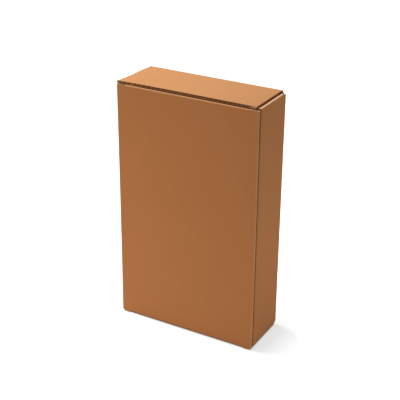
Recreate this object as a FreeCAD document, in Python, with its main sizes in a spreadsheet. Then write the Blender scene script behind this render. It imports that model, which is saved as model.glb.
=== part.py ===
import FreeCAD, Part
import os
import re

# A corrugated board mailer box, folded from one die-cut blank and standing on its hinge wall.
# +X is the box's width, -Y the face of the lid and +Z up. The origin is under the middle of the box.

doc = FreeCAD.newDocument("mailer_box")

# Driving sizes, in millimetres and degrees
driving_sizes = {
    "boxWidth": 203.0,
    "boxHeight": 340.0,
    "boxDepth": 77.0,
    "boardThickness": 3.2,
    "foldRadius": 3.8,
    "flapFoldRadius": 1.6,
    "cornerGap": 1.2,
    "layerGap": 0.4,
    "endGap": 0.5,
    "sideLift": 4.4,
    "sideDrop": 2.6,
    "wallSetBack": 3.8,
    "lidStandoff": 1.4,
    "flapLength": 68.0,
    "flapTaper": 6.0,
    "tabLength": 42.0,
    "tabShort": 0.5,
    "tabSpacing": 150.0,
    "slotClearance": 0.4,
    "lidInset": 0.4,
    "lidCornerRadius": 4.5,
    "lidEndDrop": 0.4,
    "tuckGap": 0.6,
    "tuckLean": 4.0,
    "tuckLength": 26.0,
    "tuckClearance": 1.6,
    "tuckCornerRadius": 14.0,
    "hingeGap": 0.3,
    "flutePitch": 6.6,
    "linerThickness": 0.4,
    "fluteDepth": 4.0,
    "closedEnds": 18.0,
}

# Sizes that follow from the driving ones
worked_out_sizes = {
    "halfWidth": "boxWidth / 2",
    "halfDepth": "boxDepth / 2",
    "innerRadius": "foldRadius - boardThickness",
    "rimFront": "-halfDepth + boardThickness + lidStandoff",
    "flapOuter": "halfWidth - boardThickness - cornerGap",
    "flapInner": "flapOuter - boardThickness",
    "rollOuter": "flapInner - layerGap",
    "rollInner": "rollOuter - boardThickness",
    "endFlat": "flapOuter - flapFoldRadius",
    "sideHigh": "boxHeight - sideDrop",
    "rollHigh": "boxHeight - foldRadius - endGap",
    "rollLow": "foldRadius + endGap",
    "rollBack": "halfDepth - boardThickness - layerGap",
    "flapFront": "rimFront + boardThickness + layerGap",
    "wallFront": "-halfDepth + wallSetBack",
    "hingeWallFront": "-halfDepth + foldRadius + hingeGap",
    "lidHalf": "halfWidth - lidInset",
    "lidTop": "boxHeight - boardThickness - tuckGap",
    "lidCrease": "lidHalf - lidCornerRadius",
    "tuckHalf": "rollInner - tuckClearance",
    "fluteHeight": "boardThickness - 2 * linerThickness",
    "fluteWide": "0.36 * flutePitch",
    "fluteNarrow": "0.08 * flutePitch",
}

sheet = doc.addObject("Spreadsheet::Sheet", "Sizes")
row = 0
for alias, number in driving_sizes.items():
    row += 1
    sheet.set(f"A{row}", alias)
    sheet.set(f"B{row}", str(number))
    sheet.setAlias(f"B{row}", alias)
for alias, formula in worked_out_sizes.items():
    row += 1
    sheet.set(f"A{row}", alias)
    sheet.set(f"B{row}", "=" + formula)
    sheet.setAlias(f"B{row}", alias)
doc.recompute()

all_aliases = list(driving_sizes) + list(worked_out_sizes)
turn_of = {
    "x": FreeCAD.Rotation(FreeCAD.Vector(1, 1, 1), 120),
    "y": FreeCAD.Rotation(FreeCAD.Vector(1, 1, 1), 240),
    "z": FreeCAD.Rotation(),
}


def size(alias):
    """Return a size's number from the sheet."""
    return float(sheet.get(alias))


def linked(formula):
    """Return a formula in which every size points to its cell of the sheet."""
    return re.sub(r"[A-Za-z]\w*", lambda word: "Sizes." * (word[0] in all_aliases) + word[0], formula)


def place_at(obj, corner):
    """Bind an object's place to three formulas."""
    for axis, formula in zip("xyz", corner):
        obj.setExpression(f"Placement.Base.{axis}", linked(formula))


def panel(name, low, high):
    """Make a flat stretch of board between two corners, each given as three formulas."""
    box = doc.addObject("Part::Box", name)
    for side, start, end in zip(("Length", "Width", "Height"), low, high):
        box.setExpression(side, linked(f"( {end} ) - ( {start} )"))
    place_at(box, low)
    return box


def rod(name, along, turned, corner, length, radius, angle="90"):
    """Make a sector of a cylinder along an axis, turned about it from its first edge."""
    cylinder = doc.addObject("Part::Cylinder", name)
    cylinder.setExpression("Radius", linked(radius))
    cylinder.setExpression("Height", linked(length))
    cylinder.setExpression("Angle", linked(angle))
    about_axis = FreeCAD.Rotation(FreeCAD.Vector(0, 0, 1), turned)
    cylinder.Placement.Rotation = turn_of[along].multiply(about_axis)
    place_at(cylinder, corner)
    return cylinder


def fold(name, along, turned, corner, length, angle="90"):
    """Make a rounded fold of the board: a sector with the inner radius taken out."""
    bend = doc.addObject("Part::Cut", name)
    bend.Base = rod(name + "Outside", along, turned, corner, length, "foldRadius", angle)
    bend.Tool = rod(name + "Inside", along, 0, corner, length, "innerRadius", "360")
    return bend


def joined(name, pieces):
    """Fuse pieces of board into one."""
    whole = doc.addObject("Part::MultiFuse", name)
    whole.Shapes = pieces
    return whole


def cut(name, base, tool):
    """Cut one solid from another."""
    result = doc.addObject("Part::Cut", name)
    result.Base = base
    result.Tool = tool
    return result


def mirrored(name, source):
    """Mirror a piece of the right-hand side to the left."""
    mirror = doc.addObject("Part::Mirroring", name)
    mirror.Source = source
    mirror.Base = FreeCAD.Vector(0, 0, 0)
    mirror.Normal = FreeCAD.Vector(1, 0, 0)
    return mirror


def flute_cell(name, turn, corner, wide_at_start):
    """Make one hollow between two flutes: a tapered cell as deep as the open flutes go."""
    cell = doc.addObject("Part::Wedge", name)
    first, last = ("fluteWide", "fluteNarrow") if wide_at_start else ("fluteNarrow", "fluteWide")
    cell.Ymin, cell.Zmin, cell.Z2min = 0, 0, 0
    cell.setExpression("Xmin", linked(f"-1 * {first}"))
    cell.setExpression("Xmax", linked(first))
    cell.setExpression("X2min", linked(f"-1 * {last}"))
    cell.setExpression("X2max", linked(last))
    cell.setExpression("Ymax", linked("fluteHeight"))
    cell.setExpression("Zmax", linked("fluteDepth"))
    cell.setExpression("Z2max", linked("fluteDepth"))
    cell.Placement.Rotation = turn
    place_at(cell, corner)
    return cell


# Back panel, the bottom of the tray when the box is laid down
def back_panel():
    return panel(
        "backFlat",
        ("-halfWidth + foldRadius", "halfDepth - boardThickness", "foldRadius"),
        ("halfWidth - foldRadius", "halfDepth", "boxHeight - foldRadius"))


# A side wall: the fold from the back panel, the outer panel, the rim and the inner panel with its lock tabs
def side_wall():
    outer = panel(
        "sideOuter",
        ("halfWidth - boardThickness", "rimFront + foldRadius", "sideLift"),
        ("halfWidth", "halfDepth - foldRadius", "sideHigh"))
    back_fold = fold(
        "sideBackFold", "z", 0,
        ("halfWidth - foldRadius", "halfDepth - foldRadius", "sideLift"), "sideHigh - sideLift")
    front_fold = fold(
        "rimOuterFold", "z", 270,
        ("halfWidth - foldRadius", "rimFront + foldRadius", "sideLift"), "sideHigh - sideLift")
    rim = panel(
        "rim",
        ("rollInner + foldRadius", "rimFront", "rollLow"),
        ("halfWidth - foldRadius", "rimFront + boardThickness", "rollHigh"))
    inner_fold = fold(
        "rimInnerFold", "z", 180,
        ("rollInner + foldRadius", "rimFront + foldRadius", "rollLow"), "rollHigh - rollLow")
    inner = panel(
        "sideInner",
        ("rollInner", "rimFront + foldRadius", "rollLow"),
        ("rollOuter", "rollBack", "rollHigh"))
    return [outer, back_fold, front_fold, rim, inner_fold, inner] + [lock_tab(end) for end in (-1, 1)]


def tab_ends(end):
    """Return the low and high ends of a lock tab, below (-1) or above (1) the wall's middle."""
    middle = f"boxHeight / 2 + {end} * tabSpacing / 2"
    return f"{middle} - tabLength / 2", f"{middle} + tabLength / 2"


def lock_tab(end):
    low, high = tab_ends(end)
    return panel(
        "lockTabLow" if end < 0 else "lockTabHigh",
        ("rollInner", "rollBack", low),
        ("rollOuter", "halfDepth - tabShort", high))


def tab_slot(end):
    low, high = tab_ends(end)
    return panel(
        "tabSlotLow" if end < 0 else "tabSlotHigh",
        ("rollInner - slotClearance", "halfDepth - boardThickness", f"{low} - slotClearance"),
        ("rollOuter + slotClearance", "halfDepth", f"{high} + slotClearance"))


# The end walls: one at the top, over the tuck flap, and one at the bottom, which the box stands on
def end_wall(name, front, low, high, fold_turn, fold_height):
    flat = panel(
        name + "Flat",
        ("-1 * endFlat", front, low),
        ("endFlat", "halfDepth - foldRadius", high))
    back_fold = fold(
        name + "BackFold", "x", fold_turn,
        ("-1 * endFlat", "halfDepth - foldRadius", fold_height), "2 * endFlat")
    return [flat, back_fold]


# A dust flap with its sharper fold, slid between the two panels of the right side wall
def dust_flap(name, front, fold_turn, fold_height, low, high, taper_turn, taper_height):
    bend = rod(
        name + "Fold", "y", fold_turn,
        ("endFlat", front, fold_height), f"halfDepth - foldRadius - ( {front} )", "flapFoldRadius")
    at_top = fold_turn == 0
    shoulder = panel(
        name + "Shoulder",
        ("flapInner", front, high if at_top else fold_height),
        ("flapOuter", "halfDepth - foldRadius", fold_height if at_top else low))
    flat = panel(name + "Flat", ("flapInner", "flapFront", low), ("flapOuter", "rollBack", high))
    corner = panel(
        name + "Corner",
        ("flapInner", "flapFront", taper_height),
        ("flapOuter", "flapFront + flapTaper", f"( {taper_height} ) + flapTaper"))
    round_off = rod(
        name + "Round", "x", taper_turn,
        ("flapInner", "flapFront + flapTaper",
         f"( {taper_height} ) + flapTaper" if taper_turn == 180 else taper_height),
        "boardThickness", "flapTaper")
    trimmed = cut(name + "Trimmed", flat, cut(name + "Waste", corner, round_off))
    return [bend, shoulder, trimmed]


top_wall = end_wall("topWall", "wallFront", "boxHeight - boardThickness", "boxHeight", 0, "boxHeight - foldRadius")
hinge_wall = end_wall("hingeWall", "hingeWallFront", "0", "boardThickness", 270, "foldRadius")
right_side = side_wall()
right_side += dust_flap(
    "topFlap", "wallFront", 0, "boxHeight - flapFoldRadius",
    "boxHeight - foldRadius - flapLength", "boxHeight - foldRadius",
    180, "boxHeight - foldRadius - flapLength")
right_side += dust_flap(
    "hingeFlap", "hingeWallFront", 90, "flapFoldRadius",
    "foldRadius", "foldRadius + flapLength",
    90, "foldRadius + flapLength - flapTaper")
left_side = [mirrored(piece.Name + "Left", piece) for piece in right_side]

# Open flutes, seen in the top wall's front edge and in the top ends of the side walls
half_waves_across = int((size("flapOuter") - size("closedEnds")) * 2 / size("flutePitch"))
side_length = size("halfDepth") - size("foldRadius") - size("rimFront") - size("foldRadius")
half_waves_deep = int(side_length * 2 / size("flutePitch")) - 1
edge_turn = FreeCAD.Rotation(FreeCAD.Vector(1, 0, 0), 90)
side_turn = FreeCAD.Rotation(FreeCAD.Vector(1, 1, 0), 180)


def top_edge_cells():
    cells = []
    for step in range(-half_waves_across, half_waves_across + 1):
        corner = (f"{step} * flutePitch / 2", "wallFront + fluteDepth", "boxHeight - boardThickness + linerThickness")
        cells.append(flute_cell(f"topEdgeCell{step + half_waves_across}", edge_turn, corner, step % 2 == 0))
    return cells


def side_edge_cells():
    cells = []
    for step in range(1, half_waves_deep + 1):
        corner = (
            "halfWidth - boardThickness + linerThickness",
            f"rimFront + foldRadius + {step} * flutePitch / 2", "sideHigh")
        cells.append(flute_cell(f"sideEdgeCell{step}", side_turn, corner, step % 2 == 0))
    return cells


side_cuts = side_edge_cells() + [tab_slot(end) for end in (-1, 1)]
left_side_cuts = [mirrored(piece.Name + "Left", piece) for piece in side_cuts]


def build_tray():
    """Cut the flutes and slots from the board, then put the lock tabs in their slots."""
    board = joined("trayBoard", [back_panel()] + top_wall + hinge_wall + right_side + left_side)
    hollows = joined("trayHollows", top_edge_cells() + side_cuts + left_side_cuts)
    walls = cut("trayWalls", board, hollows)
    tabs = [piece for piece in right_side + left_side if piece.Name.startswith("lockTab")]
    tray = joined("tray", [walls] + tabs)
    tray.Refine = True
    return tray


# Lid: its panel, the rounded folds at the bottom and the top, and the tuck flap
def build_lid():
    lean = size("tuckLean")
    face = panel(
        "lidFace",
        ("-1 * lidHalf", "-halfDepth", "lidCornerRadius"),
        ("lidHalf", "-halfDepth + boardThickness", "lidTop - foldRadius"))
    foot = panel(
        "lidFoot",
        ("-1 * lidCrease", "-halfDepth", "foldRadius"),
        ("lidCrease", "-halfDepth + boardThickness", "lidCornerRadius"))
    crease = fold(
        "lidCreaseFold", "x", 180,
        ("-1 * lidCrease", "-halfDepth + foldRadius", "foldRadius"), "2 * lidCrease")
    corner = rod(
        "lidCorner", "y", 90,
        ("lidCrease", "-halfDepth", "lidCornerRadius"), "boardThickness", "lidCornerRadius")
    ear = panel(
        "lidEar",
        ("tuckHalf", "-halfDepth", "lidTop - foldRadius"),
        ("lidHalf", "-halfDepth + boardThickness", "lidTop - lidEndDrop"))
    tuck_fold = fold(
        "tuckFold", "x", 90 - lean,
        ("-1 * tuckHalf", "-halfDepth + foldRadius", "lidTop - foldRadius"),
        "2 * tuckHalf", "90 + tuckLean")
    pieces = [face, foot, crease, corner, ear, tuck_fold, tuck_flap(lean)]
    pieces += [mirrored("lidCornerLeft", corner), mirrored("lidEarLeft", ear)]
    lid = joined("lid", pieces)
    lid.Refine = True
    return lid


def tuck_flap(lean):
    """Make the flap that goes in under the top wall, leaning down towards its rounded far corners."""
    flap = doc.addObject("Part::Box", "tuckFlat")
    flap.setExpression("Length", linked("2 * tuckHalf"))
    flap.setExpression("Width", linked("tuckLength"))
    flap.setExpression("Height", linked("boardThickness"))
    flap.Placement.Rotation = FreeCAD.Rotation(FreeCAD.Vector(1, 0, 0), -lean)
    place_at(flap, (
        "-1 * tuckHalf",
        "-halfDepth + foldRadius + innerRadius * sin(tuckLean * 1 deg)",
        "lidTop - foldRadius + innerRadius * cos(tuckLean * 1 deg)"))
    doc.recompute()
    rounded = doc.addObject("Part::Fillet", "tuckRounded")
    rounded.Base = flap
    rounded.Edges = [
        (number, size("tuckCornerRadius"), size("tuckCornerRadius"))
        for number, edge in enumerate(flap.Shape.Edges, start=1)
        if is_far_corner(edge)]
    return rounded


def is_far_corner(edge):
    """Tell whether an edge stands through the board at the tuck flap's free end."""
    middle = edge.CenterOfMass
    through = abs(edge.Length - size("boardThickness")) < size("boardThickness") / 2
    return through and middle.y > -size("halfDepth") + size("tuckLength") / 2


tray = build_tray()
lid = build_lid()
nodes = {"tray": tray, "lid": lid}
doc.recompute()

for obj in doc.Objects:
    if "Invalid" in obj.State or "Error" in obj.State:
        raise RuntimeError(f"{obj.Name} failed: {obj.State}")

os.makedirs("parts", exist_ok=True)
for label, node in nodes.items():
    node.Label = label
    shape = node.Shape
    if shape.isNull() or not shape.isValid():
        raise RuntimeError(f"{label} has no valid shape")
    print(label, "solids", len(shape.Solids), "volume", round(shape.Volume), "mm3", shape.BoundBox)
    shape.exportStep(f"parts/{label}.step")
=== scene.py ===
import math

import bmesh
import bpy
import numpy as np
from mathutils import Matrix, Vector


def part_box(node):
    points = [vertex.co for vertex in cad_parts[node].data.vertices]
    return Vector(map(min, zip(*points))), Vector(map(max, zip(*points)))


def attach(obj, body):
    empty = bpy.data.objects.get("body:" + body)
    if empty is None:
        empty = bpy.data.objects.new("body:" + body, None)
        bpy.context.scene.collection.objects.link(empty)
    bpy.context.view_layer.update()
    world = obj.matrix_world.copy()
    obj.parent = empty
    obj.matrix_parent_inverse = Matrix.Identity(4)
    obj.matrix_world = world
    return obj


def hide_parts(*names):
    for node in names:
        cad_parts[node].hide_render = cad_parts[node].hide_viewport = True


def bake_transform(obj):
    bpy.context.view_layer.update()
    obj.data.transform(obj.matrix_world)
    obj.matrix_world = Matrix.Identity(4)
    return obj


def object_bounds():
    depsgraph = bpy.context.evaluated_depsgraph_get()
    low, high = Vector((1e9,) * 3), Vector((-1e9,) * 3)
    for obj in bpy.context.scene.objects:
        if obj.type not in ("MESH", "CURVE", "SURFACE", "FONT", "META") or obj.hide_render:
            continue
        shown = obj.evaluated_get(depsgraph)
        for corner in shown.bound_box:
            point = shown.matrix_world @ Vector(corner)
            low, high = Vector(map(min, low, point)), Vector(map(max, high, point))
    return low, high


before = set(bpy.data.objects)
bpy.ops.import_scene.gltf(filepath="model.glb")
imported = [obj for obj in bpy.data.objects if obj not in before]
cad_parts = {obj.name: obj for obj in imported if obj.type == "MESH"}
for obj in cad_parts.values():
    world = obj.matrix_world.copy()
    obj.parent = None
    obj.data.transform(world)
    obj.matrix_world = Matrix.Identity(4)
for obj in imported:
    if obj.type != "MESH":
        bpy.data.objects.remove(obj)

cadBox = [[float(v) for v in corner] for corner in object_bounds()]
boxLow, boxHigh = (Vector(corner) for corner in cadBox)
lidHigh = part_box("lid")[1]
print("frame loaded, box", [round(v, 4) for v in boxHigh - boxLow])

# Single-wall board, in metres: two liners with a wave of paper between them
board = {
    "thickness": 0.0032,
    "liner": 0.00036,
    "flute": 0.00046,        # thickness of the waved paper
    "pitch": 0.0066,         # one wave
    "fold": 0.0038,          # outer radius of the folds that carry a wall
    "sharpFold": 0.0016,     # outer radius of the bend below a dust flap's crease
    "tightest": 0.0001,      # radius of a layer deep inside a sharp fold
    "rimStart": 0.00015,     # from a cut edge in to the crushed flutes that close it
    "rimDepth": 0.0008,      # and how far on they reach
    "crisp": 0.0008,         # outer radius of the folds at the end walls' ends
    "flattened": 0.35,       # share of the wave that a fold presses flat
    "arcSteps": 8,           # facets of a fold
    "waveSteps": 8,          # facets of one wave
    "rowStep": 0.034,        # spacing of rows along a flat stretch
    "columnStep": 0.028,     # and of columns across it
    "edgeColumns": (0.0007, 0.0016, 0.003, 0.005, 0.0075),    # closer columns by a cut edge
    "cornerRows": (0.01, 0.04, 0.09, 0.16, 0.25, 0.36, 0.5, 0.66, 0.83, 1.0),    # in a cut corner
    "sharpAngle": 35.0,      # degrees between facets that are shaded apart
}


def spread(low, high, step, closer=()):
    # Even places from low to high, with closer ones by both ends
    count = max(1, round((high - low) / step))
    places = {low + (high - low) * k / count for k in range(count + 1)}
    for gap in closer:
        if gap * 2 < high - low:
            places |= {low + gap, high - gap}
    return sorted(places)


class FoldedLine:
    # A line of corners, rounded at each. Layers nearer the inside of a fold turn tighter there.
    def __init__(self, corners, side, radius, step, closer=()):
        self.points = [np.array(c, float) for c in corners]
        self.ways = [(b - a) / np.linalg.norm(b - a) for a, b in zip(self.points, self.points[1:])]
        self.outs = [side * np.array((-w[1], w[0])) for w in self.ways]
        bends = [math.acos(min(1.0, float(a @ b))) for a, b in zip(self.ways, self.ways[1:])]
        self.turns = [0.0] + bends + [0.0]
        inward = [1.0 if near @ way < 0 else -1.0 for near, way in zip(self.outs, self.ways[1:])]
        self.hands = [1.0] + inward + [1.0]    # -1 where the board bends towards its outer face
        self.radius = radius
        self.rows = []    # stretch, part of it, a fold row's outward direction, length so far, bend
        run = 0.0
        for i, near in enumerate(self.outs):
            start, end = self.flatEnds(i, np.zeros(1))
            span = float(np.linalg.norm(end - start))
            for place in spread(0.0, span, step, closer):
                self.rows.append((i, place / span, None, run + place, 0.0))
            run += span
            turn = self.turns[i + 1]
            if turn > 0:
                far = self.outs[i + 1]
                arc = radius * turn
                steps = max(board["arcSteps"], int(arc / step))
                for part in (k / steps for k in range(1, steps)):
                    out = near * math.sin((1 - part) * turn) + far * math.sin(part * turn)
                    bend = math.sin(math.pi * part)
                    self.rows.append((i, 1.0, out / math.sin(turn), run + arc * part, bend))
                run += arc
        self.whole = run

    def corner(self, i, depth):
        before, after = self.outs[max(i - 1, 0)], self.outs[min(i, len(self.outs) - 1)]
        return self.points[i] - depth[:, None] * (before + after) / (1 + before @ after)

    def turnRadius(self, i, depth):
        return np.maximum(self.radius - self.hands[i] * depth, board["tightest"])[:, None]

    def flatEnds(self, i, depth):
        inset, outset = (self.turnRadius(k, depth) * math.tan(self.turns[k] / 2) for k in (i, i + 1))
        way = self.ways[i]
        return self.corner(i, depth) + way * inset, self.corner(i + 1, depth) - way * outset

    def place(self, row, depth):
        stretch, part, out = row[:3]
        start, end = self.flatEnds(stretch, depth)
        if out is None:
            return start + (end - start) * part
        bulge = self.hands[stretch + 1] * self.turnRadius(stretch + 1, depth)
        return end + (out - self.outs[stretch]) * bulge


planes = {    # how a folded line (p, q) and the run across it (u) lie in the frame
    "yz": lambda p, q, u: (u, p, q),
    "xy": lambda p, q, u: (p, q, u),
    "xz": lambda p, q, u: (p, u, q),
}
linerSlot, fluteSlot, cutSlot = 0, 1, 2


class Sheets:
    # Gathers closed sheets of paper into one mesh

    def __init__(self):
        self.verts, self.faces, self.slots, self.coords = [], [], [], []

    def solid(self, outer, inner, coords, slot):
        # Close a sheet's two faces, each a grid of points, with walls along their four sides
        rows, cols = len(outer), len(outer[0])
        known, order = {}, []
        for grid in (outer, inner):
            for line, marks in zip(grid, coords):
                for spot, mark in zip(line, marks):
                    key = tuple(round(v, 7) for v in spot)
                    if key not in known:
                        known[key] = len(self.verts)
                        self.verts.append(spot)
                        self.coords.append(mark)
                    order.append(known[key])

        def at(side, r, c):
            return order[side * rows * cols + r * cols + c]

        def face(corners, material):
            corners = list(dict.fromkeys(corners))
            if len(corners) > 2:
                self.faces.append(corners)
                self.slots.append(material)

        for r in range(rows - 1):
            for c in range(cols - 1):
                face((at(0, r, c), at(0, r, c + 1), at(0, r + 1, c + 1), at(0, r + 1, c)), slot)
                face((at(1, r, c), at(1, r + 1, c), at(1, r + 1, c + 1), at(1, r, c + 1)), slot)
        for r in range(rows - 1):
            for c in (0, cols - 1):
                face((at(0, r, c), at(0, r + 1, c), at(1, r + 1, c), at(1, r, c)), cutSlot)
        for c in range(cols - 1):
            for r in (0, rows - 1):
                face((at(0, r, c), at(0, r, c + 1), at(1, r, c + 1), at(1, r, c)), cutSlot)

    def board(self, plane, corners, side, low, high, flutes, radius=board["fold"], centred=False,
              trim=None, cornerRadius=0.0, cutBack=0.0,
              closed=None, closedSlot=cutSlot, closedSides=(0, 1)):
        # Lay board along a folded line, with its flutes along or across it. trim(length, whole) gives
        # the board's two sides there, and cutBack how far the waved paper stops behind the low side.
        # closed(length) is how far behind a cut side crushed flutes fill the board, where closedSides
        # is 0 for the low side and 1 for the high one.
        thick, liner, flute = board["thickness"], board["liner"], board["flute"]
        fine = board["pitch"] / board["waveSteps"]
        swing = thick / 2 - liner - flute / 2
        closer = [cornerRadius * f for f in board["cornerRows"]] if cornerRadius else ()

        def layer(rowStep, columnStep, depths, slot, inset=0.0, closedSide=None):
            line = FoldedLine(corners, side, radius, rowStep, closer)
            shift = line.whole / 2 if centred else 0.0
            across = np.array(spread(low + inset, high, columnStep, board["edgeColumns"]))
            grids, coords = ([], []), []
            for row in line.rows:
                length, bend = row[3] - shift, row[4]
                sides = trim(row[3], line.whole) if trim else (low, high)
                u = np.clip(across, *sides)
                if closedSide is not None:
                    near = closed(length)
                    reach = np.array([near, near + board["rimDepth"]])
                    u = sides[1] - reach[::-1] if closedSide else sides[0] + reach
                wave = u if flutes == "along" else np.full(len(u), length)
                rest = np.full(len(u), length) if flutes == "along" else u
                for grid, depth in zip(grids, depths(wave, bend)):
                    spots = line.place(row, depth)
                    grid.append([planes[plane](p, q, v) for (p, q), v in zip(spots.tolist(), u.tolist())])
                coords.append([(a, b, bend) for a, b in zip(wave.tolist(), rest.tolist())])
            self.solid(grids[0], grids[1], coords, slot)

        def flat(top, bottom):
            return lambda wave, bend: (np.full(len(wave), top), np.full(len(wave), bottom))

        def waved(wave, bend):
            rise = swing * (1 - board["flattened"] * bend)
            middle = thick / 2 + rise * np.cos(2 * np.pi * wave / board["pitch"])
            return middle - flute / 2, middle + flute / 2

        layer(board["rowStep"], board["columnStep"], flat(0.0, liner), linerSlot)
        layer(board["rowStep"], board["columnStep"], flat(thick - liner, thick), linerSlot)
        if flutes == "along":
            layer(board["rowStep"], fine, waved, fluteSlot)
        else:
            layer(fine, board["columnStep"], waved, fluteSlot, cutBack)
        for closedSide in closedSides if closed else ():
            layer(board["rowStep"], board["columnStep"], flat(liner, thick - liner), closedSlot,
                  closedSide=closedSide)

    def piece(self, name, materials, body, settle=None):
        # Make the gathered sheets one piece that rides on a body
        mesh = bpy.data.meshes.new(name)
        verts = [settle(*v) for v in self.verts] if settle else self.verts
        mesh.from_pydata(verts, [], self.faces)
        for material in materials:
            mesh.materials.append(material)
        mesh.polygons.foreach_set("material_index", self.slots)
        marks = mesh.attributes.new("boardCoord", "FLOAT_VECTOR", "POINT")
        marks.data.foreach_set("vector", np.array(self.coords, np.float32).ravel())
        edit = bmesh.new()
        edit.from_mesh(mesh)
        bmesh.ops.recalc_face_normals(edit, faces=edit.faces)
        edit.to_mesh(mesh)
        edit.free()
        mesh.shade_smooth()
        mesh.set_sharp_from_angle(angle=math.radians(board["sharpAngle"]))
        obj = bpy.data.objects.new(name, mesh)
        bpy.context.scene.collection.objects.link(obj)
        if body:
            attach(obj, body)
        print("piece", name, len(mesh.polygons), "faces")
        return obj


# Places that the pieces share, from the frame and the board
layout = {
    "cornerGap": 0.0012,      # between a folded-in flap and the side wall's outer panel
    "layerGap": 0.0004,       # between boards that lie together
    "endGap": 0.0005,         # from an end wall's fold to a side wall's rolled-in panel
    "rollDrop": 0.0055,       # and this much further
    "sideLift": 0.0044,       # from the floor to a side wall's cut end
    "sideDrop": 0.0026,       # from the top down to its other end
    "lidStandoff": 0.0030,    # between the lid and the rims
    "wallSetBack": 0.0038,    # from the lid's face to the top wall's cut edge
    "hingeGap": 0.0003,       # between the hinge wall and the lid's fold
    "overlap": 0.00001,       # where two stretches of board meet in a fold
}
thick, fold, sharpFold = board["thickness"], board["fold"], board["sharpFold"]
halfWidth, backFace, height = boxHigh.x, boxHigh.y, boxHigh.z
lidFace = boxLow.y
rimFront = lidFace + thick + layout["lidStandoff"]
flapOuter = halfWidth - thick - layout["cornerGap"]
rollOuter = flapOuter - thick - layout["layerGap"]
rollInner = rollOuter - thick
rollBack = backFace - thick - layout["layerGap"]
rollLow = fold + layout["endGap"] + layout["rollDrop"]
rollHigh = height - rollLow
flapFront = rimFront + thick + layout["layerGap"]
endFlat = flapOuter - board["crisp"]
wallFront = lidFace + layout["wallSetBack"]
hingeFront = lidFace + fold + layout["hingeGap"]
wallRear = backFace - fold
topFold = height - fold

# Paper
paper = {
    "liner": (188, 128, 83),
    "foldTone": (206, 156, 112),     # where a fold is worn
    "paintedCreaseShade": (92, 62, 42),       # painted shade along the fold that the box stands on, in place of the shadow where it meets the floor
    "flute": (186, 138, 98),
    "cut": (220, 174, 138),
    "roughness": 0.82,             # its middle, and how far it varies in all
    "roughnessRange": 0.12,
    "toneScales": (7.0, 24.0, 140.0),    # of broad, middle and fine clouds
    "fineShare": 0.5,
    "fibreScale": 1500.0,
    "fibreStretch": (1.0, 1.0, 0.28),
    "fibreHeight": 0.35,
    "speckScale": 420.0,
    "speckSize": (0.10, 0.16),           # its solid middle and its soft edge, as shares of a cell
    "speckPatches": (160.0, 0.60),       # scale of the noise, and the level above which specks lie
    "printPatches": 18.0,
    "creaseScale": 900.0,
    "creaseStretch": (0.35, 1.0, 1.0),
}


def linear(rgb):
    # 0-255 sRGB as the linear colour that the shader takes
    values = [c / 255 for c in rgb]
    return tuple(c / 12.92 if c <= 0.04045 else ((c + 0.055) / 1.055) ** 2.4 for c in values) + (1.0,)


def newGroup(name, inputs, outputs):
    group = bpy.data.node_groups.new(name, "ShaderNodeTree")
    for label, kind, value in inputs:
        socket = group.interface.new_socket(name=label, in_out="INPUT", socket_type=kind)
        socket.default_value = value
    for label, kind in outputs:
        group.interface.new_socket(name=label, in_out="OUTPUT", socket_type=kind)
    return group, group.nodes.new("NodeGroupInput"), group.nodes.new("NodeGroupOutput")


def addNode(tree, kind, inputs=None, **settings):
    # Add a node, set its properties, and join or set its inputs
    node = tree.nodes.new(kind)
    for key, value in settings.items():
        setattr(node, key, value)
    for key, value in (inputs or {}).items():
        if isinstance(value, bpy.types.NodeSocket):
            tree.links.new(value, node.inputs[key])
        else:
            node.inputs[key].default_value = value
    return node


def mathNode(tree, operation, a, b=0.0, c=0.0):
    return addNode(tree, "ShaderNodeMath", {0: a, 1: b, 2: c}, operation=operation).outputs[0]


def noiseNode(tree, vector, scale, detail, roughness=0.5, distortion=0.0):
    settings = {"Vector": vector, "Scale": scale, "Detail": detail,
                "Roughness": roughness, "Distortion": distortion}
    return addNode(tree, "ShaderNodeTexNoise", settings).outputs[0]


def stretched(tree, vector, scale):
    return addNode(tree, "ShaderNodeMapping", {"Vector": vector, "Scale": scale}).outputs[0]


def scaled(tree, colour, scale):
    return addNode(tree, "ShaderNodeVectorMath", {0: colour, "Scale": scale}, operation="SCALE").outputs[0]


def ramp(tree, value, places, levels):
    # Go from one level to the other as the value goes from one place to the other
    inputs = {0: value, 1: places[0], 2: places[1], 3: levels[0], 4: levels[1]}
    return addNode(tree, "ShaderNodeMapRange", inputs).outputs[0]


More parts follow.
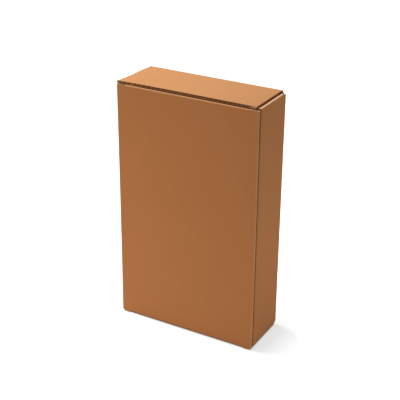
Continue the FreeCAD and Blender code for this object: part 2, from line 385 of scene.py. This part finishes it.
def kraftPaper():
    # Kraft paper over any base colour: cloudy tone, short fibres and a few dark specks
    group, source, result = newGroup(
        "kraftPaper",
        [("Base", "NodeSocketColor", (0.5, 0.3, 0.1, 1)), ("Clouds", "NodeSocketFloat", 0.05),
         ("Fibres", "NodeSocketFloat", 0.05), ("Specks", "NodeSocketFloat", 0.1)],
        [("Color", "NodeSocketColor"), ("Height", "NodeSocketFloat"), ("Roughness", "NodeSocketFloat")])
    where = addNode(group, "ShaderNodeTexCoord").outputs["Object"]
    broadScale, middleScale, fineScale = paper["toneScales"]
    broad = noiseNode(group, where, broadScale, detail=2.0)
    middle = noiseNode(group, where, middleScale, detail=4.0, roughness=0.55)
    fine = noiseNode(group, where, fineScale, detail=3.0, roughness=0.6)
    along = stretched(group, where, paper["fibreStretch"])
    fibres = noiseNode(group, along, paper["fibreScale"], detail=4.0, roughness=0.7, distortion=0.6)
    cells = addNode(group, "ShaderNodeTexVoronoi", {"Vector": where, "Scale": paper["speckScale"]})
    dot = ramp(group, cells.outputs["Distance"], paper["speckSize"], (1.0, 0.0))
    patchScale, patchLevel = paper["speckPatches"]
    dotHere = mathNode(group, "GREATER_THAN", noiseNode(group, where, patchScale, detail=1.0), patchLevel)
    speck = mathNode(group, "MULTIPLY", mathNode(group, "MULTIPLY", dot, dotHere), source.outputs["Specks"])
    # Noise lies round 0.5, and each tone is brought to lie round 0
    cloudTone = mathNode(group, "ADD", broad, middle)
    cloudTone = mathNode(group, "MULTIPLY_ADD", fine, paper["fineShare"], cloudTone)
    cloudTone = mathNode(group, "MULTIPLY_ADD", cloudTone, 2.0, -2.0 - paper["fineShare"])
    fibreTone = mathNode(group, "MULTIPLY_ADD", fibres, 2.0, -1.0)
    tone = mathNode(group, "MULTIPLY_ADD", cloudTone, source.outputs["Clouds"], 1.0)
    tone = mathNode(group, "MULTIPLY_ADD", fibreTone, source.outputs["Fibres"], tone)
    tone = mathNode(group, "SUBTRACT", tone, speck)
    group.links.new(scaled(group, source.outputs["Base"], tone), result.inputs["Color"])
    group.links.new(fibres, result.inputs["Height"])
    change = paper["roughnessRange"]
    rough = mathNode(group, "MULTIPLY_ADD", fine, change, paper["roughness"] - change / 2)
    group.links.new(rough, result.inputs["Roughness"])
    return group


def boardPrint():
    # What waves and folds do to a liner: a faint washboard, and small creases where the board bends
    group, source, result = newGroup(
        "boardPrint",
        [("Wave Height", "NodeSocketFloat", 0.2), ("Crease Height", "NodeSocketFloat", 1.0),
         ("Wave Tone", "NodeSocketFloat", 0.01)],
        [("Height", "NodeSocketFloat"), ("Tone", "NodeSocketFloat"), ("Bend", "NodeSocketFloat")])
    where = addNode(group, "ShaderNodeAttribute", attribute_name="boardCoord").outputs["Vector"]
    parts = addNode(group, "ShaderNodeSeparateXYZ", {0: where})
    phase = mathNode(group, "MULTIPLY", parts.outputs[0], math.tau / board["pitch"])
    wave = mathNode(group, "COSINE", phase)
    waveHere = mathNode(group, "MULTIPLY", wave, noiseNode(group, where, paper["printPatches"], detail=2.0))
    across = stretched(group, where, paper["creaseStretch"])
    wrinkles = noiseNode(group, across, paper["creaseScale"], detail=3.0, roughness=0.6)
    crease = mathNode(group, "MULTIPLY", wrinkles, parts.outputs[2])
    height = mathNode(group, "MULTIPLY", waveHere, source.outputs["Wave Height"])
    height = mathNode(group, "MULTIPLY_ADD", crease, source.outputs["Crease Height"], height)
    group.links.new(height, result.inputs["Height"])
    tone = mathNode(group, "MULTIPLY_ADD", waveHere, source.outputs["Wave Tone"], 1.0)
    group.links.new(tone, result.inputs["Tone"])
    group.links.new(parts.outputs[2], result.inputs["Bend"])
    return group


kraftGroup, printGroup = kraftPaper(), boardPrint()


def startMaterial(name):
    material = bpy.data.materials.new(name)
    material.use_nodes = True
    return material, material.node_tree, material.node_tree.nodes["Principled BSDF"]


def placeGroup(tree, group, values):
    node = addNode(tree, "ShaderNodeGroup", node_tree=group)
    for label, value in values.items():
        node.inputs[label].default_value = value
    return node


def linerPaper(name, foldWearAndShadeColour, foldWearAndShade):
    # The board's two faces, with another tone along the folds: worn paper on the liner, painted shade on
    # the lid's crease
    material, tree, shader = startMaterial(name)
    kraft = placeGroup(
        tree, kraftGroup, {"Base": linear(paper["liner"]), "Clouds": 0.03, "Fibres": 0.045, "Specks": 0.16})
    printed = placeGroup(tree, printGroup, {"Wave Height": 0.5, "Crease Height": 1.1, "Wave Tone": 0.012})
    toned = scaled(tree, kraft.outputs["Color"], printed.outputs["Tone"])
    # How much of the fold tone shows along a bend: wear on the liner, painted shade on the lid's crease
    foldTone = mathNode(tree, "MULTIPLY", printed.outputs["Bend"], foldWearAndShade)
    wornAndShaded = addNode(tree, "ShaderNodeMix", {0: foldTone, 6: toned, 7: linear(foldWearAndShadeColour)}, data_type="RGBA")
    tree.links.new(wornAndShaded.outputs[2], shader.inputs["Base Color"])
    tree.links.new(kraft.outputs["Roughness"], shader.inputs["Roughness"])
    height = mathNode(
        tree, "MULTIPLY_ADD", kraft.outputs["Height"], paper["fibreHeight"], printed.outputs["Height"])
    bump = addNode(tree, "ShaderNodeBump", {"Height": height, "Strength": 0.35, "Distance": 0.00012})
    tree.links.new(bump.outputs[0], shader.inputs["Normal"])
    shader.inputs["Specular IOR Level"].default_value = 0.25
    return material


def rawPaper(name, rgb, clouds, fibres, bumpSize):
    # Waved paper and cut edges: rougher, without the liner's print-through
    material, tree, shader = startMaterial(name)
    kraft = placeGroup(
        tree, kraftGroup, {"Base": linear(rgb), "Clouds": clouds, "Fibres": fibres, "Specks": 0.05})
    tree.links.new(kraft.outputs["Color"], shader.inputs["Base Color"])
    tree.links.new(kraft.outputs["Roughness"], shader.inputs["Roughness"])
    bump = addNode(
        tree, "ShaderNodeBump", {"Height": kraft.outputs["Height"], "Strength": 0.6, "Distance": bumpSize})
    tree.links.new(bump.outputs[0], shader.inputs["Normal"])
    shader.inputs["Specular IOR Level"].default_value = 0.15
    return material


papers = [
    linerPaper("kraftLiner", paper["foldTone"], foldWearAndShade=0.16),
    rawPaper("flutePaper", paper["flute"], clouds=0.05, fibres=0.07, bumpSize=0.0001),
    rawPaper("cutPaper", paper["cut"], clouds=0.05, fibres=0.12, bumpSize=0.0002),
]
# Painted shade: the lid's crease that the box stands on darkens along its bend, standing in for the shadow
# where it meets the floor
creasePapers = [linerPaper("paintedShadeLiner", paper["paintedCreaseShade"], foldWearAndShade=0.85)] + papers[1:]
print("materials ready")

# Tray
tray = {
    "flapLength": 0.068,
    "flapTaper": 0.006,
    "tabLength": 0.042,
    "tabSpacing": 0.150,
    "tabShort": 0.0005,
    "slotClearance": 0.0004,
    "rimFold": 0.0010,         # outer radius of the folds along a side wall's rim
    "reliefLength": 0.0105,    # round the back fold, where a side wall's ends are cut away
    "footRelief": 0.0100,
    "topRelief": 0.0060,
    "reliefCurve": 1.5,        # power by which the cut-away widens towards the back
    "shutEnd": 0.0185,         # length of the top wall's cut edge that is crushed shut, from its right end
    "openEnd": 0.016,          # and of the stretch at its left end that is open
    "fluteView": 0.0060,       # how far in the flutes between them can be seen
    "openDepth": 0.008,        # and those at the open end
    "fluteCutBack": 0.0003,    # from that edge back to the waved paper
    "bow": 0.0005,             # how far the large panels bow in
    "foldLean": 0.0028,        # how far a dust flap leans in below its crease
    "foldLeanEnd": 0.005,      # and where it is upright again
    "springOut": 0.0044,       # the top wall's left front corner springs out this far
    "springForward": 0.0022,   # and forward
    "springLength": 0.055,     # along the side
    "springWidth": 0.050,      # and along the front
    "springCurve": 2,          # power by which it fades along the side
    "springRise": 1.5,         # and below the top
}


def roundDrop(place, radius):
    # How much a rounded corner takes off the side, at a place along the corner's radius
    left = min(max(radius - place, 0.0), radius)
    return radius - math.sqrt(radius ** 2 - left ** 2)


def slotEnds():
    for end in (-1, 1):
        middle = height / 2 + end * tray["tabSpacing"] / 2
        yield middle - tray["tabLength"] / 2, middle + tray["tabLength"] / 2


def crushedShut(length):
    return board["rimStart"]


def openFlutes(x):
    # The top wall's cut edge is shut near its right end, half open in the middle and open at the left
    if x > flapOuter - tray["shutEnd"]:
        return board["rimStart"]
    return tray["openDepth"] if x < tray["openEnd"] - flapOuter else tray["fluteView"]


def buildEndWall(sheets, level, way, front, cutBack, closed):
    # The top wall or the hinge wall, with the folds at its ends and its two dust flaps
    inside = level - way * fold
    leaned = flapOuter - tray["foldLean"]
    corners = [(-leaned, inside), (-flapOuter, level), (flapOuter, level), (leaned, inside)]
    sheets.board("xz", corners, way, front, wallRear, "across", radius=board["crisp"], centred=True,
                 cutBack=cutBack, closed=closed, closedSlot=fluteSlot, closedSides=(0,))
    overlap = layout["overlap"]
    rear = [(wallRear - overlap, level), (backFace, level), (backFace, inside - way * overlap)]
    sheets.board("yz", rear, way, -endFlat, endFlat, "along")
    for side in (-1, 1):
        upright = inside - way * tray["foldLeanEnd"]
        end = inside - way * tray["flapLength"]
        line = [(side * leaned, inside), (side * flapOuter, upright), (side * flapOuter, end)]

        def tapered(length, whole):
            return flapFront + roundDrop(whole - length, tray["flapTaper"]), rollBack
        sheets.board("xz", line, side * way, flapFront, rollBack, "across",
                     radius=sharpFold, trim=tapered, cornerRadius=tray["flapTaper"])


def buildBack(sheets, slotLow, slotHigh):
    # The back panel between the slots, and its margins above, between and below them
    sheets.board("yz", [(backFace, topFold), (backFace, fold)], 1, -slotLow, slotLow, "along")
    levels = [fold]
    for low, high in slotEnds():
        levels += [low - tray["slotClearance"], high + tray["slotClearance"]]
    levels.append(topFold)
    for side in (-1, 1):
        ends = sorted((side * slotLow, side * slotHigh))
        for low, high in zip(levels[0::2], levels[1::2]):
            sheets.board("yz", [(backFace, high), (backFace, low)], 1, ends[0], ends[1], "along")


def buildSide(sheets, side, slotHigh):
    # A side wall: outer panel, rim and inner panel, rolled from the back panel's edge
    def mirror(points):
        return [(side * p, q) for p, q in points]

    cornerIn = halfWidth - fold
    low, high = layout["sideLift"], height - layout["sideDrop"]

    def relieved(length, whole):
        cut = max(0.0, 1 - length / tray["reliefLength"]) ** tray["reliefCurve"]
        return low + tray["footRelief"] * cut, high - tray["topRelief"] * cut

    sheets.board("xy", mirror([(slotHigh, backFace), (cornerIn, backFace)]), side, fold, topFold, "across")
    outer = [(cornerIn - layout["overlap"], backFace), (halfWidth, backFace), (halfWidth, rimFront + fold)]
    sheets.board("xy", mirror(outer), side, low, high, "across",
                 trim=relieved, cornerRadius=tray["reliefLength"], closed=crushedShut, closedSlot=fluteSlot)
    rim = [(halfWidth, rimFront + fold), (halfWidth, rimFront), (cornerIn, rimFront)]
    sheets.board("xy", mirror(rim), side, low, high, "across", radius=tray["rimFold"], closed=crushedShut,
                 closedSlot=fluteSlot)
    inner = [(cornerIn, rimFront), (rollInner, rimFront), (rollInner, rollBack)]
    sheets.board("xy", mirror(inner), side, rollLow, rollHigh, "across", radius=tray["rimFold"])
    for tabLow, tabHigh in slotEnds():
        tab = mirror([(rollInner, rollBack), (rollInner, backFace - tray["tabShort"])])
        sheets.board("xy", tab, side, tabLow, tabHigh, "across")


def settleTray(x, y, z):
    # The walls are never quite flat: each large panel bows in a little between its folds
    upright = math.sin(math.pi * min(1.0, max(0.0, z / height)))
    across = math.cos(math.pi / 2 * min(1.0, abs(x) / halfWidth))
    deep = math.sin(math.pi * min(1.0, max(0.0, (y - rimFront) / (backFace - rimFront))))
    if y > rollBack:
        y -= tray["bow"] * upright * across
    if abs(x) > rollInner - thick / 2:
        x -= math.copysign(tray["bow"], x) * upright * deep
    if z > topFold and abs(x) < flapOuter + layout["overlap"]:
        rise = (z - topFold) / fold
        z -= tray["bow"] * across * deep
        # The left front corner springs out, and in front of the rim its fold stands upright
        along = min(1.0, max(0.0, 1 - (y - wallFront) / tray["springLength"]))
        beside = max(0.0, 1 - (flapOuter + x) / tray["springWidth"])
        sprung = along ** tray["springCurve"] * beside
        if y > rimFront - layout["layerGap"]:
            sprung *= rise ** tray["springRise"]
        else:
            x -= tray["foldLean"] * (1 - rise) * sprung
        x -= tray["springOut"] * sprung
        y -= tray["springForward"] * sprung
    return x, y, z


def buildTray():
    sheets = Sheets()
    slotLow, slotHigh = rollInner - tray["slotClearance"], rollOuter + tray["slotClearance"]
    buildEndWall(sheets, height, 1, wallFront, tray["fluteCutBack"], openFlutes)
    buildEndWall(sheets, 0.0, -1, hingeFront, 0.0, None)
    buildBack(sheets, slotLow, slotHigh)
    for side in (-1, 1):
        buildSide(sheets, side, slotHigh)
    return sheets.piece("trayBoard", papers, "tray", settleTray)


trayBoard = buildTray()
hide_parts("tray")

# Lid
lid = {
    "cornerRadius": 0.0045,    # of its cut corners at the foot
    "endDrop": 0.0002,         # the cut ends beside the tuck fold stand this much lower
    "tuckFold": 0.0015,
    "tuckLean": 26.0,          # degrees below level, just behind the fold
    "tuckStep": 0.0045,        # until here the flap leans, and from here it is nearly level
    "tuckFall": 0.0004,        # how much lower its free end lies
    "tuckLength": 0.026,
    "tuckClearance": 0.0016,
    "tuckCorner": 0.014,
    "footGap": 0.0006,         # from the floor to the cut ends beside the lower fold
    "bow": 0.0005,
    "narrowing": 0.0008,       # at the top of its left side
}
lidHalf, lidTop = lidHigh.x, lidHigh.z
lidCrease = lidHalf - lid["cornerRadius"]
tuckHalf = rollInner - lid["tuckClearance"]


def buildLid():
    sheets = Sheets()
    lean = math.radians(lid["tuckLean"])
    tangent = lid["tuckFold"] * math.tan((math.pi / 2 + lean) / 2)
    shoulder = lidTop - lid["tuckFold"]
    corner = (lidFace, shoulder + tangent)
    step = (corner[0] + lid["tuckStep"], corner[1] - lid["tuckStep"] * math.tan(lean))
    end = (lidFace + fold + lid["tuckLength"], step[1] - lid["tuckFall"])

    def tuckSides(length, whole):
        drop = roundDrop(whole - length, lid["tuckCorner"])
        return -tuckHalf + drop, tuckHalf - drop

    sheets.board("yz", [(lidFace, shoulder - fold), corner, step, end], 1, -tuckHalf, tuckHalf, "along",
                 radius=lid["tuckFold"], trim=tuckSides, cornerRadius=lid["tuckCorner"])
    sheets.board("yz", [(lidFace, fold), (lidFace, shoulder - fold)], 1, -tuckHalf, tuckHalf, "along")
    for side in (-1, 1):
        low, high = sorted((side * tuckHalf, side * lidHalf))

        def outerSides(length, whole):
            reach = lidHalf - roundDrop(length, lid["cornerRadius"])
            return max(low, -reach), min(high, reach)
        sheets.board("yz", [(lidFace, lid["footGap"]), (lidFace, lidTop - lid["endDrop"])], 1, low, high,
                     "along", trim=outerSides, cornerRadius=lid["cornerRadius"], closed=crushedShut,
                     closedSlot=linerSlot)
    return sheets.piece("lidBoard", papers, "lid", settleLid)


def settleLid(x, y, z):
    # The lid springs a little: its face is fullest in the middle and falls back towards its edges
    across = math.cos(math.pi / 2 * min(1.0, abs(x) / lidHalf))
    upright = math.sin(math.pi * min(1.0, max(0.0, z / lidTop)))
    x += lid["narrowing"] * max(0.0, -x / lidHalf) * z / lidTop
    return x, y + lid["bow"] * upright * (1 - across), z


lidBoard = buildLid()
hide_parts("lid")


def buildCrease():
    # The fold that the lid turns on, from the hinge wall round to the lid's face and just past both
    sheets = Sheets()
    overlap = layout["layerGap"]
    corners = [(hingeFront + overlap, 0), (lidFace, 0), (lidFace, fold + board["tightest"])]
    sheets.board("yz", corners, 1, -lidCrease, lidCrease, "along")
    crease = sheets.piece("lidCrease", creasePapers, None)
    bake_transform(crease)
    return crease


lidCreaseFold = buildCrease()
print("box folded")

# Studio: white floor and backdrop with painted shade round the box, a soft lamp above, and weaker ones at
# the front and the right
studio = {
    "floorSize": 12.0,
    "floorPaper": (0.80, 0.78, 0.72),
    "floorGlow": (0.585, 0.625, 0.655),    # for the camera, reflections and glass only
    "grainScale": 60.0,
    "grain": 0.006,
    "underBox": (-0.0032, -0.0012),       # painted shade: the camera's glow starts between these distances from the box's sides, so the floor under the box stays dark
    "farFromBox": (0.01, 0.06),           # and grows between these, so a painted shadow fades out round the box
    "farGain": 1.45,                      # by this factor
    "worldLight": 0.20,
}
lamps = {
    "key": {"place": (-0.33, -0.02, 1.15), "size": 0.45, "power": 11.0, "colour": (0.87, 0.93, 0.88)},
    "front": {"place": (-0.30, -0.66, 0.05), "size": 0.25, "power": 1.97, "colour": (1.0, 0.70, 0.40)},
    "side": {"place": (0.66, 0.06, 0.05), "size": 0.25, "power": 1.0, "colour": (1.0, 0.80, 0.52)},
}


def seenDirectly(tree):
    # 1 for what the camera, a reflection or glass sees of it
    path = addNode(tree, "ShaderNodeLightPath")
    direct = mathNode(tree, "MAXIMUM", path.outputs["Is Camera Ray"], path.outputs["Is Glossy Ray"])
    return mathNode(tree, "MAXIMUM", direct, path.outputs["Is Transmission Ray"])


def buildFloor():
    mesh = bpy.data.meshes.new("floor")
    half = studio["floorSize"] / 2
    corners = [(-half, -half, 0), (half, -half, 0), (half, half, 0), (-half, half, 0)]
    mesh.from_pydata(corners, [], [(0, 1, 2, 3)])
    floor = bpy.data.objects.new("floor", mesh)
    floor.location.z = boxLow.z - layout["layerGap"] / 2
    bpy.context.scene.collection.objects.link(floor)
    material, tree, shader = startMaterial("floorPaper")
    grain = addNode(tree, "ShaderNodeTexNoise", {"Scale": studio["grainScale"], "Detail": 2.0}).outputs[0]
    tone = mathNode(tree, "MULTIPLY_ADD", grain, studio["grain"], 1 - studio["grain"] / 2)
    tree.links.new(scaled(tree, studio["floorPaper"], tone), shader.inputs["Base Color"])
    shader.inputs["Roughness"].default_value = 0.9
    shader.inputs["Specular IOR Level"].default_value = 0.0
    shader.inputs["Emission Color"].default_value = studio["floorGlow"] + (1,)
    where = addNode(tree, "ShaderNodeTexCoord").outputs["Object"]
    place = addNode(tree, "ShaderNodeSeparateXYZ", {0: where})
    beside = mathNode(tree, "SUBTRACT", mathNode(tree, "ABSOLUTE", place.outputs[0]), halfWidth)
    before = mathNode(tree, "SUBTRACT", mathNode(tree, "ABSOLUTE", place.outputs[1]), backFace)
    away = mathNode(tree, "MAXIMUM", beside, before)
    # Painted shade: for the camera the floor's glow is held back under and beside the box, darkening the
    # floor there
    paintedShadeUnderBox = ramp(tree, away, studio["underBox"], (0.0, 1.0))
    paintedShadeFade = ramp(tree, away, studio["farFromBox"], (1.0, studio["farGain"]))
    glow = mathNode(tree, "MULTIPLY", mathNode(tree, "MULTIPLY", seenDirectly(tree), paintedShadeFade), paintedShadeUnderBox)
    tree.links.new(glow, shader.inputs["Emission Strength"])
    mesh.materials.append(material)


def buildWorld():
    world = bpy.data.worlds.new("studioWorld")
    world.use_nodes = True
    bpy.context.scene.world = world
    tree = world.node_tree
    background = tree.nodes["Background"]
    strengths = {0: seenDirectly(tree), 2: studio["worldLight"], 3: 1.0}
    mix = addNode(tree, "ShaderNodeMix", strengths, data_type="FLOAT")
    tree.links.new(mix.outputs[0], background.inputs["Strength"])
    background.inputs["Color"].default_value = (1, 1, 1, 1)


def addLamp(kind, values):
    # A round lamp that faces the middle of the box
    data = bpy.data.lights.new(kind + "Lamp", "AREA")
    data.shape = "DISK"
    data.size = values["size"]
    data.energy = values["power"]
    data.color = values["colour"]
    lamp = bpy.data.objects.new(kind + "Lamp", data)
    place = Vector(values["place"])
    lamp.location = place
    lamp.rotation_euler = (place - Vector((0, 0, height / 2))).to_track_quat("Z", "Y").to_euler()
    lamp.visible_camera = False
    bpy.context.scene.collection.objects.link(lamp)


buildFloor()
buildWorld()
for kind, values in lamps.items():
    addLamp(kind, values)

# Camera, fitted to the box's edges in the photograph of 400 by 400 pixels
view = {
    "place": (0.579759, -1.023331, 0.736105),
    "azimuth": 29.511,
    "elevation": 25.267,
    "roll": 0.435,
    "focalPixels": 983.96,
    "imagePixels": 400,
    "sensor": 36.0,
}


def placeCamera():
    azimuth, elevation, roll = (math.radians(view[k]) for k in ("azimuth", "elevation", "roll"))
    level = math.cos(elevation)
    back = Vector((math.sin(azimuth) * level, -math.cos(azimuth) * level, math.sin(elevation)))
    right = Vector((math.cos(azimuth), math.sin(azimuth), 0))
    up = back.cross(right)
    turned = right * math.cos(roll) + up * math.sin(roll)
    upright = up * math.cos(roll) - right * math.sin(roll)
    data = bpy.data.cameras.new("photoCamera")
    data.sensor_width = view["sensor"]
    data.lens = view["sensor"] * view["focalPixels"] / view["imagePixels"]
    camera = bpy.data.objects.new("photoCamera", data)
    turn = Matrix((turned, upright, back)).transposed().to_4x4()
    camera.matrix_world = Matrix.Translation(view["place"]) @ turn
    bpy.context.scene.collection.objects.link(camera)
    bpy.context.scene.camera = camera


placeCamera()
bpy.context.scene.view_settings.view_transform = "Standard"
print("studio ready")
